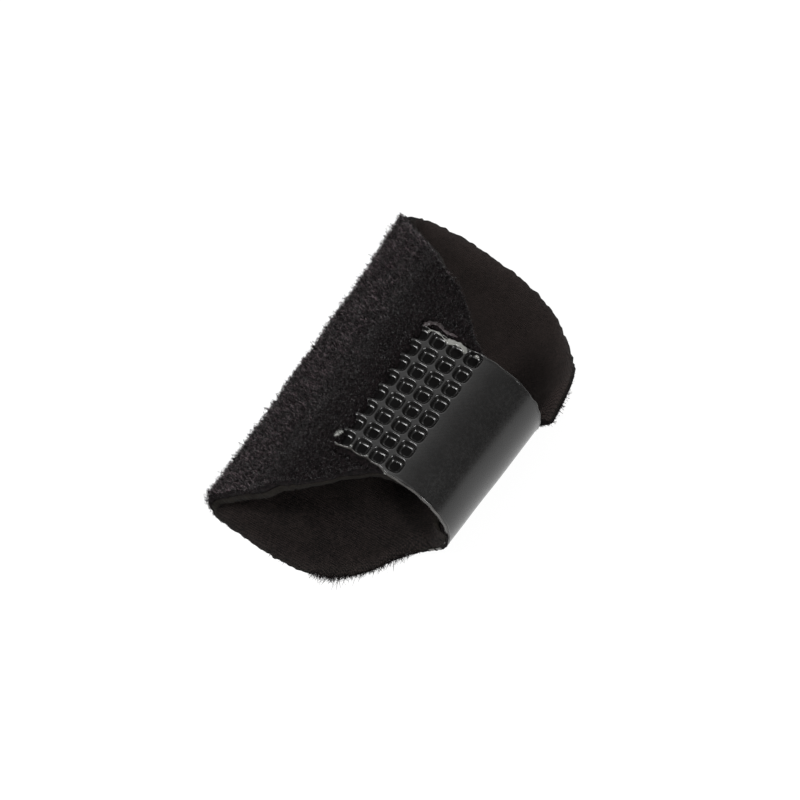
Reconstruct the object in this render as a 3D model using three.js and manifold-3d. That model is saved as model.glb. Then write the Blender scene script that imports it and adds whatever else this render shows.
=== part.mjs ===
import * as THREE from 'three';
import Module from 'manifold-3d';
import { mergeVertices } from 'three/addons/utils/BufferGeometryUtils.js';

// Finger splint wrap, in millimetres. A strip of padded cloth is folded over a finger
// and closed round one side by a moulded hook strap. The wrap lies on its back half,
// with the fold at -X, the finger's tunnel along Y and +Z up.

const { degToRad, lerp, smoothstep } = THREE.MathUtils;

// Section across the closed wrap, on its outside, half way along the finger
const sectionWidth = 31.4;
const sectionHeight = 17.8;
const flapSlope = degToRad(52);
const archRadius = 6.85;
const foldInnerRadius = 0.4;
// The section grows by this share from one end of the wrap to the other
const coneGrowth = 0.118;

// Cloth: loop pile outside, foam-backed knit inside, bonded into one padded strip
const pileThickness = 1.0;
const liningThickness = 1.0;
const bondGap = 0.15;

// Plan of the cloth strip: its ends along the finger at the fold, and its reach each
// way from the middle of the fold, measured round the outside
const foldFarEnd = 25.6;
const foldNearEnd = -23.8;
const flapReach = 33.2;
const backReach = 38;

// Hook strap: welded on the flap's end, round the open side and back under the wrap
const strapWidth = 20;
const strapThickness = 0.8;
const strapCentre = -5;
const strapClearance = 0.2;
const weldOverlap = 10.1;
const tailSetback = 6;
const tailCornerRadius = 3;

// The strap presses the cloth in by its own thickness, which fades out round it
const pressLip = 0.4;
const pressSpread = 1.8;

// Weld: a field of pressed pockets, in columns across the strap. The first column's
// middle is set in from the strap's end by less than half a pocket, so it opens there.
const pocketColumns = 4;
const pocketRows = 8;
const pocketBorder = 0.28;
const pocketRidge = 0.47;
const pocketDraft = 0.23;
const pocketCorner = 0.35;
const pocketDepth = 0.5;
const pocketSetIn = 0.57;

// Half outlines of the cloth, from the fold to each end. along is a share of the reach.
// far and near say how much of the way from the strap's edge to the fold's end is cloth.
const flapOutline = [
  { along: 0, far: 1, near: 1 },
  { along: 0.09, far: 0.91, near: 0.93 },
  { along: 0.22, far: 0.78, near: 0.88 },
  { along: 0.46, far: 0.57, near: 0.9 },
  { along: 0.64, far: 0.385, near: 0.72 },
  { along: 0.72, far: 0.33, near: 0.57 },
  { along: 0.79, far: 0.23, near: 0.32 },
  { along: 0.86, far: 0.11, near: 0.12 },
  { along: 0.92, far: 0.03, near: 0.03 },
  { along: 1, far: -0.03, near: -0.05 },
];
const backOutline = [
  { along: 0, far: 1, near: 1 },
  { along: 0.07, far: 1.03, near: 1.07 },
  { along: 0.28, far: 1.02, near: 1.1 },
  { along: 0.43, far: 0.98, near: 1.06 },
  { along: 0.53, far: 0.92, near: 0.98 },
  { along: 0.61, far: 0.85, near: 0.66 },
  { along: 0.69, far: 0.74, near: 0.22 },
  { along: 0.78, far: 0.6, near: 0.05 },
  { along: 0.85, far: 0.46, near: 0.01 },
  { along: 0.91, far: 0.3, near: -0.02 },
  { along: 0.96, far: 0.16, near: -0.05 },
  { along: 1, far: 0.02, near: -0.08 },
];

// Cells of the meshes, and the slimmest that a cell may get
const clothCells = [3, 1, 4, 1, 4];
const slimmestCell = 0.1;
const shortestCell = 0.4;
const cornerCells = 4;

// Sizes that follow
const clothThickness = pileThickness + bondGap + liningThickness;
const pressDepth = strapThickness + strapClearance;
const foldRadius = foldInnerRadius + clothThickness;
const bendRadius = sectionHeight / 2;
const foldRise = foldRadius * (1 + Math.cos(flapSlope));
const archRise = archRadius * (1 - Math.cos(flapSlope));
const slopeLength = (sectionHeight - foldRise - archRise) / Math.sin(flapSlope);
const slopeRun = slopeLength * Math.cos(flapSlope) + (archRadius - foldRadius) * Math.sin(flapSlope);
const undersideLength = sectionWidth - bendRadius - foldRadius;
const topLength = undersideLength - slopeRun;
const coneSlope = coneGrowth / (foldFarEnd - foldNearEnd);
const strapNear = strapCentre - strapWidth / 2;
const strapFar = strapCentre + strapWidth / 2;
const pocketPitch = (strapWidth - 2 * pocketBorder) / pocketRows;
const pocketMouth = pocketPitch - pocketRidge;

// The outside of the section is a loop of arcs and lines, walked clockwise from the
// underside of the fold, up the flap, over the top, round the bend and back underneath
const loop = [
  { radius: foldRadius, turn: Math.PI - flapSlope, cells: 8 },
  { length: slopeLength, cells: 7 },
  { radius: archRadius, turn: flapSlope, cells: 6 },
  { length: topLength, cells: 5 },
  { radius: bendRadius, turn: Math.PI, cells: 18 },
  { length: undersideLength, cells: 11 },
];

let walked = 0;
let corner = { x: foldRadius, z: 0, heading: Math.PI };
for (const piece of loop) {
  piece.start = walked;
  piece.from = corner;
  piece.length ??= piece.radius * piece.turn;
  walked += piece.length;
  corner = alongPiece(piece, piece.length);
}
const loopLength = walked;

// Positions round the wrap are counted from the middle of the fold, along the back
const foldMiddle = loop[0].length / 2;
const strapTail = foldMiddle + tailSetback;
const strapWeld = loopLength - flapReach + weldOverlap;
const loopPlaces = [0, loopLength].flatMap((turn) => loop.flatMap(({ start, length, cells }) => (
  Array.from({ length: cells }, (_, cell) => foldMiddle + turn - start - length * cell / cells)
)));

function alongPiece(piece, travel) {
  const { x, z, heading } = piece.from;
  if (!piece.radius) {
    return { x: x + travel * Math.cos(heading), z: z + travel * Math.sin(heading), heading };
  }
  const turned = heading - travel / piece.radius;
  return {
    x: x + piece.radius * (Math.sin(heading) - Math.sin(turned)),
    z: z + piece.radius * (Math.cos(turned) - Math.cos(heading)),
    heading: turned,
  };
}

function loopAt(around) {
  const walk = THREE.MathUtils.euclideanModulo(foldMiddle - around, loopLength);
  const piece = loop.findLast((each) => each.start <= walk);
  return alongPiece(piece, walk - piece.start);
}

// Point of the wrap at a place round the loop and along the finger, below the outside
function wrapPoint(around, y, depth) {
  const { x, z, heading } = loopAt(around);
  const scale = 1 + coneSlope * y;
  return new THREE.Vector3(
    scale * (x + depth * Math.sin(heading)),
    y,
    scale * (z - depth * Math.cos(heading)),
  );
}

// How far the strap presses the cloth in
function pressed(around, y) {
  const place = around < 0 ? around + loopLength : around;
  const beside = Math.abs(y - strapCentre) - strapWidth / 2;
  const across = 1 - smoothstep(beside, pressLip, pressLip + pressSpread);
  const afterTail = smoothstep(place, foldMiddle, strapTail - pressLip);
  const beforeWeld = 1 - smoothstep(place, strapWeld + pressLip, strapWeld + pressLip + pressSpread);
  return pressDepth * across * afterTail * beforeWeld;
}

function between(rows, column, along) {
  const next = Math.max(1, rows.findIndex((row) => row.along >= along));
  const [low, high] = [rows[next - 1], rows[next]];
  return lerp(low[column], high[column], (along - low.along) / (high.along - low.along));
}

// Places across the cloth, closer together where the strap's edges press it in
function clothColumns(around) {
  const rows = around < 0 ? flapOutline : backOutline;
  const along = around < 0 ? -around / flapReach : around / backReach;
  const stops = [
    lerp(strapNear, foldNearEnd, between(rows, 'near', along)),
    strapNear - pressLip - pressSpread,
    strapNear - pressLip,
    strapFar + pressLip,
    strapFar + pressLip + pressSpread,
    lerp(strapFar, foldFarEnd, between(rows, 'far', along)),
  ];
  for (const stop of [1, 2]) stops[stop] = Math.max(stops[stop], stops[stop - 1] + slimmestCell);
  for (const stop of [4, 3]) stops[stop] = Math.min(stops[stop], stops[stop + 1] - slimmestCell);
  const inside = clothCells.flatMap((cells, part) => (
    Array.from({ length: cells }, (_, cell) => lerp(stops[part], stops[part + 1], cell / cells))
  ));
  return [...inside, stops.at(-1)];
}

function strapColumns(around) {
  const inCorner = Math.max(0, tailCornerRadius - (around - strapTail));
  const inset = tailCornerRadius - Math.sqrt(tailCornerRadius ** 2 - inCorner ** 2);
  return [strapNear + inset, strapFar - inset];
}

// Places round the wrap: both ends, those asked for between them, and the loop's own
// where they aren't too close to these
function placesBetween(start, end, asked) {
  const fixed = [start, ...asked, end];
  const free = loopPlaces.filter((place) => (
    place > start && place < end && fixed.every((other) => Math.abs(place - other) > shortestCell)
  ));
  return [...fixed, ...free].sort((one, other) => one - other);
}

// Closed slab between an outer and an inner grid of points, given row by row
function slab(outer, inner) {
  const rows = outer.length;
  const columns = outer[0].length;
  const points = [...outer.flat(), ...inner.flat()];
  const out = (row, column) => row * columns + column;
  const inn = (row, column) => rows * columns + row * columns + column;
  const faces = [];
  const quad = (a, b, c, d) => faces.push(a, b, c, a, c, d);
  for (let row = 0; row < rows - 1; row++) {
    for (let column = 0; column < columns - 1; column++) {
      quad(out(row, column), out(row, column + 1), out(row + 1, column + 1), out(row + 1, column));
      quad(inn(row, column), inn(row + 1, column), inn(row + 1, column + 1), inn(row, column + 1));
    }
    quad(out(row, 0), out(row + 1, 0), inn(row + 1, 0), inn(row, 0));
    const last = columns - 1;
    quad(out(row, last), inn(row, last), inn(row + 1, last), out(row + 1, last));
  }
  for (let column = 0; column < columns - 1; column++) {
    quad(out(0, column), inn(0, column), inn(0, column + 1), out(0, column + 1));
    const last = rows - 1;
    quad(out(last, column), out(last, column + 1), inn(last, column + 1), inn(last, column));
  }
  const geometry = new THREE.BufferGeometry().setFromPoints(points);
  geometry.setIndex(faces);
  return geometry;
}

// Slab that follows the wrap, with its columns at each place, between two depths
function wrapSlab(places, columnsAt, top, thickness, pressAt = () => 0) {
  const grid = (depth) => places.map((around) => (
    columnsAt(around).map((y) => wrapPoint(around, y, depth + pressAt(around, y)))
  ));
  return slab(grid(top), grid(top + thickness));
}

// Square ring with cut corners
function pocketRing(size, height) {
  const half = size / 2;
  const cut = half - pocketCorner;
  const ring = [[half, cut], [cut, half], [-cut, half], [-half, cut]];
  const turned = ring.map(([x, y]) => [-x, -y]);
  return [...ring, ...turned].map(([x, y]) => new THREE.Vector3(x, y, height));
}

// Closed tapered plug from the pocket's floor to as far above its mouth
function pocketPlug() {
  const floor = pocketRing(pocketMouth - 2 * pocketDraft, -pocketDepth);
  const mouth = pocketRing(pocketMouth + 2 * pocketDraft, pocketDepth);
  const count = floor.length;
  const faces = [];
  for (let side = 0; side < count; side++) {
    const next = (side + 1) % count;
    faces.push(side, next, count + next, side, count + next, count + side);
    if (side > 0 && next > 0) {
      faces.push(0, next, side, count, count + side, count + next);
    }
  }
  const geometry = new THREE.BufferGeometry().setFromPoints([...floor, ...mouth]);
  geometry.setIndex(faces);
  return geometry;
}

function pocketPlace(column, row) {
  const around = strapWeld - pocketSetIn - column * pocketPitch;
  const y = strapCentre + (row - (pocketRows - 1) / 2) * pocketPitch;
  const { heading } = loopAt(around);
  return new THREE.Matrix4()
    .makeRotationY(-heading)
    .setPosition(wrapPoint(around, y, 0));
}

const wasm = await Module();
wasm.setup();

function toSolid(geometry) {
  const merged = mergeVertices(geometry);
  return new wasm.Manifold(new wasm.Mesh({
    numProp: 3,
    vertProperties: new Float32Array(merged.attributes.position.array),
    triVerts: new Uint32Array(merged.index.array),
  }));
}

function toGeometry(solid) {
  const { vertProperties, triVerts } = solid.getMesh();
  const geometry = new THREE.BufferGeometry();
  geometry.setAttribute('position', new THREE.BufferAttribute(new Float32Array(vertProperties), 3));
  geometry.setIndex(new THREE.BufferAttribute(new Uint32Array(triVerts), 1));
  return geometry;
}

function clothPlaces() {
  const weld = strapWeld - loopLength;
  const asked = [weld, weld + pressLip, weld + pressLip + pressSpread, 0, strapTail - pressLip];
  return placesBetween(-flapReach, backReach, asked);
}

function pileCover() {
  return wrapSlab(clothPlaces(), clothColumns, 0, pileThickness, pressed);
}

function foamLining() {
  return wrapSlab(clothPlaces(), clothColumns, pileThickness + bondGap, liningThickness, pressed);
}

function hookStrap() {
  const corners = Array.from({ length: cornerCells }, (_, cell) => (
    strapTail + tailCornerRadius * (1 - Math.cos(Math.PI / 2 * (cell + 1) / cornerCells))
  ));
  const places = placesBetween(strapTail, strapWeld, corners);
  let solid = toSolid(wrapSlab(places, strapColumns, 0, strapThickness));
  for (let column = 0; column < pocketColumns; column++) {
    for (let row = 0; row < pocketRows; row++) {
      const plug = pocketPlug().applyMatrix4(pocketPlace(column, row));
      solid = solid.subtract(toSolid(plug));
    }
  }
  return toGeometry(solid);
}

function named(name, geometry, color, roughness) {
  geometry.computeVertexNormals();
  const material = new THREE.MeshStandardMaterial({ color, roughness, metalness: 0 });
  const mesh = new THREE.Mesh(geometry, material);
  mesh.name = name;
  return mesh;
}

const splint = new THREE.Group();
splint.add(
  named('pile_cover', pileCover(), 0x3b3637, 0.95),
  named('foam_lining', foamLining(), 0x2a2423, 0.9),
  named('hook_strap', hookStrap(), 0x242122, 0.35),
);

// The origin is under the middle of the whole wrap, on the surface that it lies on
const extent = new THREE.Box3().setFromObject(splint);
const middle = extent.getCenter(new THREE.Vector3());
splint.position.set(-middle.x, -middle.y, -extent.min.z);

export default splint;
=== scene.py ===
import math
from functools import partial

import bpy
import numpy as np
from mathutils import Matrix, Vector


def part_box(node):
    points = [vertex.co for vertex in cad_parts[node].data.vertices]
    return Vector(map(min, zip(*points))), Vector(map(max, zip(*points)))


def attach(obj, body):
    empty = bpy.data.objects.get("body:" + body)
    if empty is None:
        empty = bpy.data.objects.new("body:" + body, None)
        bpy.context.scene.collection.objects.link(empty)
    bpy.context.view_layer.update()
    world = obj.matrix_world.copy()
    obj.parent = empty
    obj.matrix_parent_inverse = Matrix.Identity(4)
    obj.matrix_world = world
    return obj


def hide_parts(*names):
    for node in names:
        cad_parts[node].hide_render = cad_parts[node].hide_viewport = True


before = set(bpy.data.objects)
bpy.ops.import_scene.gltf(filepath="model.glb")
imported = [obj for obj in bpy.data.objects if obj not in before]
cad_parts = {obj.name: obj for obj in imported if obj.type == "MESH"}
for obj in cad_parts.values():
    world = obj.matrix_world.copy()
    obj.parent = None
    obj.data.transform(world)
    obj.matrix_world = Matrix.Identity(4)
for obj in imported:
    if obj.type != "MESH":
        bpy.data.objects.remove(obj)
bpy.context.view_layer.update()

# Finger splint wrap. Lengths are in millimetres here and become metres in the meshes.
# Around is the place round the wrap: 0 in the fold, negative up the flap and positive along
# the back. Under the strap it counts on round the bend to the weld and is always positive.
MM = 0.001

# Section across the closed wrap, on its outside, half way along the finger
SECTION_WIDTH = 31.4
SECTION_HEIGHT = 17.8
FLAP_SLOPE = math.radians(52)
ARCH_RADIUS = 6.85
FOLD_INNER_RADIUS = 0.4
CONE_GROWTH = 0.118

# Cloth
PILE_THICKNESS = 1.0
LINING_THICKNESS = 1.0
BOND_GAP = 0.15
FOLD_FAR_END = 25.6
FOLD_NEAR_END = -23.8
FLAP_REACH = 33.2
BACK_REACH = 38.0

# Strap
STRAP_WIDTH = 20.0
STRAP_CENTRE = -5.0
STRAP_THICKNESS = 0.8
STRAP_CLEARANCE = 0.2
WELD_OVERLAP = 10.1
TAIL_SETBACK = 6.0
TAIL_CORNER = 3.0
TAPE_THICKNESS = 0.5

# How the strap presses the cloth in. The pile fills up to the tape, except under the weld.
PRESS_LIP = 0.4
PRESS_SPREAD = 1.8
PILE_PRESS = 0.53
PILE_LIP = 0.1
PILE_SPREAD = 0.7

# Weld pockets
POCKET_COLUMNS = 4
POCKET_ROWS = 8
POCKET_BORDER = 0.28
POCKET_SET_IN = 0.38
POCKET_SHIFT = 0.2
WELD_ZONE = 9.4

# Half outlines of the cloth: share of the reach from the fold, then how much of the way
# from the strap's far and near edge to the fold's end is cloth
FLAP_OUTLINE = np.array([
    # along, far, near
    (0, 1, 1),
    (0.09, 0.91, 0.93),
    (0.22, 0.78, 0.88),
    (0.46, 0.57, 0.9),
    (0.64, 0.385, 0.71),
    (0.72, 0.33, 0.52),
    (0.79, 0.23, 0.25),
    (0.86, 0.11, -0.04),
    (0.92, 0.03, -0.1),
    (1, -0.03, -0.1),
])
BACK_OUTLINE = np.array([
    # along, far, near
    (0, 1.01, 0.965),
    (0.07, 1.055, 1.045),
    (0.2, 1.063, 1.085),
    (0.28, 1.045, 1.13),
    (0.36, 1.02, 1.13),
    (0.43, 1.0, 1.105),
    (0.53, 0.94, 0.97),
    (0.61, 0.87, 0.67),
    (0.69, 0.752, 0.17),
    (0.78, 0.595, -0.025),
    (0.85, 0.48, -0.005),
    (0.89, 0.39, 0.02),
    (0.92, 0.32, 0.02),
    (0.935, 0.06, 0.02),
    (0.95, 0.0, 0.02),
    (1, -0.02, 0.02),
])

CLOTH_THICKNESS = PILE_THICKNESS + BOND_GAP + LINING_THICKNESS
PRESS_DEPTH = STRAP_THICKNESS + STRAP_CLEARANCE
FOLD_RADIUS = FOLD_INNER_RADIUS + CLOTH_THICKNESS
BEND_RADIUS = SECTION_HEIGHT / 2
FOLD_RISE = FOLD_RADIUS * (1 + math.cos(FLAP_SLOPE))
ARCH_RISE = ARCH_RADIUS * (1 - math.cos(FLAP_SLOPE))
SLOPE_LENGTH = (SECTION_HEIGHT - FOLD_RISE - ARCH_RISE) / math.sin(FLAP_SLOPE)
SLOPE_RUN = SLOPE_LENGTH * math.cos(FLAP_SLOPE) + (ARCH_RADIUS - FOLD_RADIUS) * math.sin(FLAP_SLOPE)
UNDERSIDE_LENGTH = SECTION_WIDTH - BEND_RADIUS - FOLD_RADIUS
TOP_LENGTH = UNDERSIDE_LENGTH - SLOPE_RUN
CONE_SLOPE = CONE_GROWTH / (FOLD_FAR_END - FOLD_NEAR_END)
STRAP_NEAR = STRAP_CENTRE - STRAP_WIDTH / 2
STRAP_FAR = STRAP_CENTRE + STRAP_WIDTH / 2
POCKET_PITCH = (STRAP_WIDTH - 2 * POCKET_BORDER) / POCKET_ROWS


# The section's outside as a table of place walked, x, z and heading, from the underside
# of the fold up the flap, over the top, round the bend and back underneath
LOOP_STEPS = 200


def walk_loop():
    pieces = [
        (FOLD_RADIUS, FOLD_RADIUS * (math.pi - FLAP_SLOPE)),
        (None, SLOPE_LENGTH),
        (ARCH_RADIUS, ARCH_RADIUS * FLAP_SLOPE),
        (None, TOP_LENGTH),
        (BEND_RADIUS, BEND_RADIUS * math.pi),
        (None, UNDERSIDE_LENGTH),
    ]
    rows = [(0.0, FOLD_RADIUS, 0.0, math.pi)]
    for radius, length in pieces:
        walked, x, z, heading = rows[-1]
        for step in range(1, LOOP_STEPS + 1):
            travel = length * step / LOOP_STEPS
            if radius is None:
                rows.append((
                    walked + travel,
                    x + travel * math.cos(heading),
                    z + travel * math.sin(heading),
                    heading,
                ))
                continue
            turned = heading - travel / radius
            rows.append((
                walked + travel,
                x + radius * (math.sin(heading) - math.sin(turned)),
                z + radius * (math.cos(turned) - math.cos(heading)),
                turned,
            ))
    return np.array(rows)


LOOP = walk_loop()
LOOP_LENGTH = LOOP[-1, 0]
FOLD_MIDDLE = FOLD_RADIUS * (math.pi - FLAP_SLOPE) / 2
STRAP_TAIL = FOLD_MIDDLE + TAIL_SETBACK
STRAP_WELD = LOOP_LENGTH - FLAP_REACH + WELD_OVERLAP

# Where the fold and the strap's near edge are in the frame
SHIFT_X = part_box("pile_cover")[0][0] / MM
SHIFT_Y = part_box("hook_strap")[0][1] / MM - STRAP_NEAR


def smooth(value, low, high):
    share = np.clip((value - low) / (high - low), 0, 1)
    return share * share * (3 - 2 * share)


# x, z and heading at places round the wrap
def section_at(around):
    walk = (FOLD_MIDDLE - around) % LOOP_LENGTH
    return (np.interp(walk, LOOP[:, 0], LOOP[:, column]) for column in (1, 2, 3))


# Beyond the strap's far edge nothing bends the back inward. Its free lip stands straight
# from LIP_START on, and from LIP_LEAN earlier beside the strap.
LIP_START = 33.3
LIP_FREE_FROM = 0.1
LIP_FREE_BY = 1.0
LIP_LEAN = 2.4
LIP_LEAN_BY = 14.0


# Points at places round the wrap and along the finger, at a depth below its outside
def wrap_points(around, y, depth, free_lip=False):
    x, z, heading = section_at(around)
    if free_lip:
        straight_from = LIP_START - LIP_LEAN * (1 - smooth(y, STRAP_FAR, STRAP_FAR + LIP_LEAN_BY))
        x0, z0, turned = section_at(straight_from)
        beyond = np.maximum(around - straight_from, 0)
        free = smooth(y, STRAP_FAR + LIP_FREE_FROM, STRAP_FAR + LIP_FREE_BY) * (beyond > 0)
        x = x + free * (x0 - beyond * np.cos(turned) - x)
        z = z + free * (z0 - beyond * np.sin(turned) - z)
        heading = heading + free * (turned - heading)
    scale = 1 + CONE_SLOPE * y
    return np.stack([
        scale * (x + depth * np.sin(heading)) + SHIFT_X,
        y + SHIFT_Y,
        scale * (z - depth * np.cos(heading)),
    ], axis=-1)


def outward(around):
    _, _, heading = section_at(around)
    return np.stack([-np.sin(heading), 0 * heading, np.cos(heading)], axis=-1)


# A place round the wrap as the strap counts it
def strap_place(around):
    return np.where(around < 0, around + LOOP_LENGTH, around)


# 1 where the strap lies, fading out beside it from lip on
def press_share(around, y, lip, spread):
    place = strap_place(around)
    beside = np.abs(y - STRAP_CENTRE) - STRAP_WIDTH / 2
    across = 1 - smooth(beside, lip, lip + spread)
    after_tail = smooth(place, FOLD_MIDDLE, STRAP_TAIL - PRESS_LIP)
    before_weld = 1 - smooth(place, STRAP_WELD + lip, STRAP_WELD + lip + spread)
    return across * after_tail * before_weld


def pressed(around, y):
    return PRESS_DEPTH * press_share(around, y, PRESS_LIP, PRESS_SPREAD)


def cover_pressed(around, y):
    welded = smooth(strap_place(around), STRAP_WELD - WELD_ZONE - PILE_SPREAD, STRAP_WELD - WELD_ZONE)
    depth = PILE_PRESS + (PRESS_DEPTH - PILE_PRESS) * welded
    return depth * press_share(around, y, PILE_LIP, PILE_SPREAD)


# 1 under the strap and 0 away from it, blurred by these at its sides and ends
SIDE_BLUR = 0.2
END_BLUR = 0.3


def under_strap(around, y):
    place = strap_place(around)
    half = STRAP_WIDTH / 2
    across = 1 - smooth(np.abs(y - STRAP_CENTRE), half - SIDE_BLUR, half + SIDE_BLUR)
    after_tail = smooth(place, STRAP_TAIL - END_BLUR, STRAP_TAIL)
    return across * (after_tail * (1 - smooth(place, STRAP_WELD, STRAP_WELD + END_BLUR)))


# The cloth's cut edges: the outline tables rounded off at their corners
OUTLINE_STEPS = 720
OUTLINE_SOFTENING = 31


def outline_table():
    around = np.linspace(-FLAP_REACH, BACK_REACH, OUTLINE_STEPS)
    weights = np.hanning(OUTLINE_SOFTENING + 2)[1:-1]
    half = OUTLINE_SOFTENING // 2
    table = [around]
    for column, start, end in ((2, STRAP_NEAR, FOLD_NEAR_END), (1, STRAP_FAR, FOLD_FAR_END)):
        flap = np.interp(-around / FLAP_REACH, FLAP_OUTLINE[:, 0], FLAP_OUTLINE[:, column])
        back = np.interp(around / BACK_REACH, BACK_OUTLINE[:, 0], BACK_OUTLINE[:, column])
        share = np.where(around < 0, flap, back)
        before = 2 * share[0] - share[half:0:-1]
        after = 2 * share[-1] - share[-2:-half - 2:-1]
        share = np.convolve(np.concatenate([before, share, after]), weights / weights.sum(), "valid")
        table.append(start + share * (end - start))
    return table


OUTLINE = outline_table()


# The near and far cut edge at places round the wrap
def cloth_edges(around):
    return np.interp(around, OUTLINE[0], OUTLINE[1]), np.interp(around, OUTLINE[0], OUTLINE[2])


# Smooth random waves: a sum of sines with set directions, the same on every run. A wave's
# length and seed are kept together below, with its count where that isn't the usual one.
WAVE_COUNT = 7
WAVE_PITCHES = (0.7, 1.4)


def waves(around, y, length, seed, count=WAVE_COUNT):
    source = np.random.default_rng(seed)
    total = 0
    for _ in range(count):
        angle = source.uniform(0, math.tau)
        pitch = length * source.uniform(*WAVE_PITCHES)
        phase = source.uniform(0, math.tau)
        total = total + np.sin((around * math.cos(angle) + y * math.sin(angle)) * math.tau / pitch + phase)
    return total / math.sqrt(count)


UV_NAME = "cloth"


def add_object(name, points, faces, material, uv=None):
    mesh = bpy.data.meshes.new(name)
    mesh.from_pydata((points * MM).tolist(), [], faces.tolist())
    mesh.validate()
    if uv is not None:
        layer = mesh.uv_layers.new(name=UV_NAME)
        corners = np.zeros(len(mesh.loops), dtype=np.int32)
        mesh.loops.foreach_get("vertex_index", corners)
        layer.data.foreach_set("uv", uv[corners].ravel().astype(np.float32))
    mesh.polygons.foreach_set("use_smooth", [True] * len(mesh.polygons))
    mesh.materials.append(material)
    thing = bpy.data.objects.new(name, mesh)
    bpy.context.scene.collection.objects.link(thing)
    return thing


# Faces of a closed slab: its outer grid, its inner grid, then its four sides
def slab_faces(rows, columns):
    index = np.arange(rows * columns).reshape(rows, columns)
    inner = index + rows * columns

    def quads(a, b, c, d):
        return np.stack([a.ravel(), b.ravel(), c.ravel(), d.ravel()], axis=1)

    return np.concatenate([
        quads(index[:-1, :-1], index[:-1, 1:], index[1:, 1:], index[1:, :-1]),
        quads(inner[:-1, :-1], inner[1:, :-1], inner[1:, 1:], inner[:-1, 1:]),
        quads(index[:-1, 0], index[1:, 0], inner[1:, 0], inner[:-1, 0]),
        quads(index[:-1, -1], inner[:-1, -1], inner[1:, -1], index[1:, -1]),
        quads(index[0, :-1], inner[0, :-1], inner[0, 1:], index[0, 1:]),
        quads(index[-1, :-1], index[-1, 1:], inner[-1, 1:], inner[-1, :-1]),
    ])


# A closed slab between two depths. Its UV map is its places, in millimetres.
def add_slab(name, around, y, top, bottom, material, free_lip=False):
    outer = wrap_points(around, y, top, free_lip)
    inner = wrap_points(around, y, bottom, free_lip)
    points = np.concatenate([outer.reshape(-1, 3), inner.reshape(-1, 3)])
    uv = np.stack([around.ravel(), y.ravel()], axis=1)
    return add_object(name, points, slab_faces(*around.shape), material, np.concatenate([uv, uv]))


# Shader helpers. A noise is given as its scale, detail and roughness.
def new_material(name):
    material = bpy.data.materials.new(name)
    material.use_nodes = True
    nodes = material.node_tree.nodes
    return material, nodes, material.node_tree.links, nodes["Principled BSDF"]


def object_place(nodes):
    return nodes.new("ShaderNodeTexCoord").outputs["Object"]


def noise_at(nodes, links, place, scale, detail, roughness):
    node = nodes.new("ShaderNodeTexNoise")
    node.inputs["Scale"].default_value = scale
    node.inputs["Detail"].default_value = detail
    node.inputs["Roughness"].default_value = roughness
    links.new(place, node.inputs["Vector"])
    return node.outputs["Fac"]


def ramp(nodes, links, value, stops, socket):
    node = nodes.new("ShaderNodeValToRGB")
    for element, (place, colour) in zip(node.color_ramp.elements, (stops[0], stops[-1])):
        element.position = place
        element.color = (*colour, 1)
    for place, colour in stops[1:-1]:
        node.color_ramp.elements.new(place).color = (*colour, 1)
    links.new(value, node.inputs["Fac"])
    links.new(node.outputs["Color"], socket)


# The two parts of the UV map, in steps of the given pitches
def uv_steps(nodes, links, pitch_around, pitch_along):
    uv = nodes.new("ShaderNodeUVMap")
    uv.uv_map = UV_NAME
    stretch = nodes.new("ShaderNodeVectorMath")
    stretch.operation = "MULTIPLY"
    stretch.inputs[1].default_value = (1 / pitch_around, 1 / pitch_along, 1)
    split = nodes.new("ShaderNodeSeparateXYZ")
    links.new(uv.outputs["UV"], stretch.inputs[0])
    links.new(stretch.outputs["Vector"], split.inputs["Vector"])
    return split.outputs["X"], split.outputs["Y"]


def math_node(nodes, links, operation, *values):
    node = nodes.new("ShaderNodeMath")
    node.operation = operation
    for socket, value in zip(node.inputs, values):
        if isinstance(value, (int, float)):
            socket.default_value = value
        else:
            links.new(value, socket)
    return node.outputs["Value"]


def bump(nodes, links, shader, height, strength, distance):
    node = nodes.new("ShaderNodeBump")
    node.inputs["Strength"].default_value = strength
    node.inputs["Distance"].default_value = distance
    links.new(height, node.inputs["Height"])
    links.new(node.outputs["Normal"], shader.inputs["Normal"])


def set_gloss(shader, roughness, specular):
    shader.inputs["Roughness"].default_value = roughness
    shader.inputs["Specular IOR Level"].default_value = specular


# The ground of the pile: matted black nap between the loops
PILE_GRAIN = (2400, 4, 0.7)
PILE_TONES = ((0.42, (0.0008, 0.0005, 0.0006)), (0.75, (0.012, 0.008, 0.009)))
PILE_BUMP = (1.0, 0.0003)


def pile_material():
    material, nodes, links, shader = new_material("pile_black")
    grain = noise_at(nodes, links, object_place(nodes), *PILE_GRAIN)
    ramp(nodes, links, grain, PILE_TONES, shader.inputs["Base Color"])
    bump(nodes, links, shader, grain, *PILE_BUMP)
    set_gloss(shader, roughness=0.9, specular=0.1)
    return material


# Each fibre has its own shade, from black to grey
FIBRE_TONES = (
    (0.0, (0.0008, 0.0004, 0.0005)),
    (0.75, (0.009, 0.0053, 0.006)),
    (1.0, (0.105, 0.079, 0.087)),
)
SHADE_NAME = "shade"


def fibre_material():
    material, nodes, links, shader = new_material("pile_fibre")
    shade = nodes.new("ShaderNodeAttribute")
    shade.attribute_name = SHADE_NAME
    ramp(nodes, links, shade.outputs["Fac"], FIBRE_TONES, shader.inputs["Base Color"])
    set_gloss(shader, roughness=0.35, specular=0.3)
    return material


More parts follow.
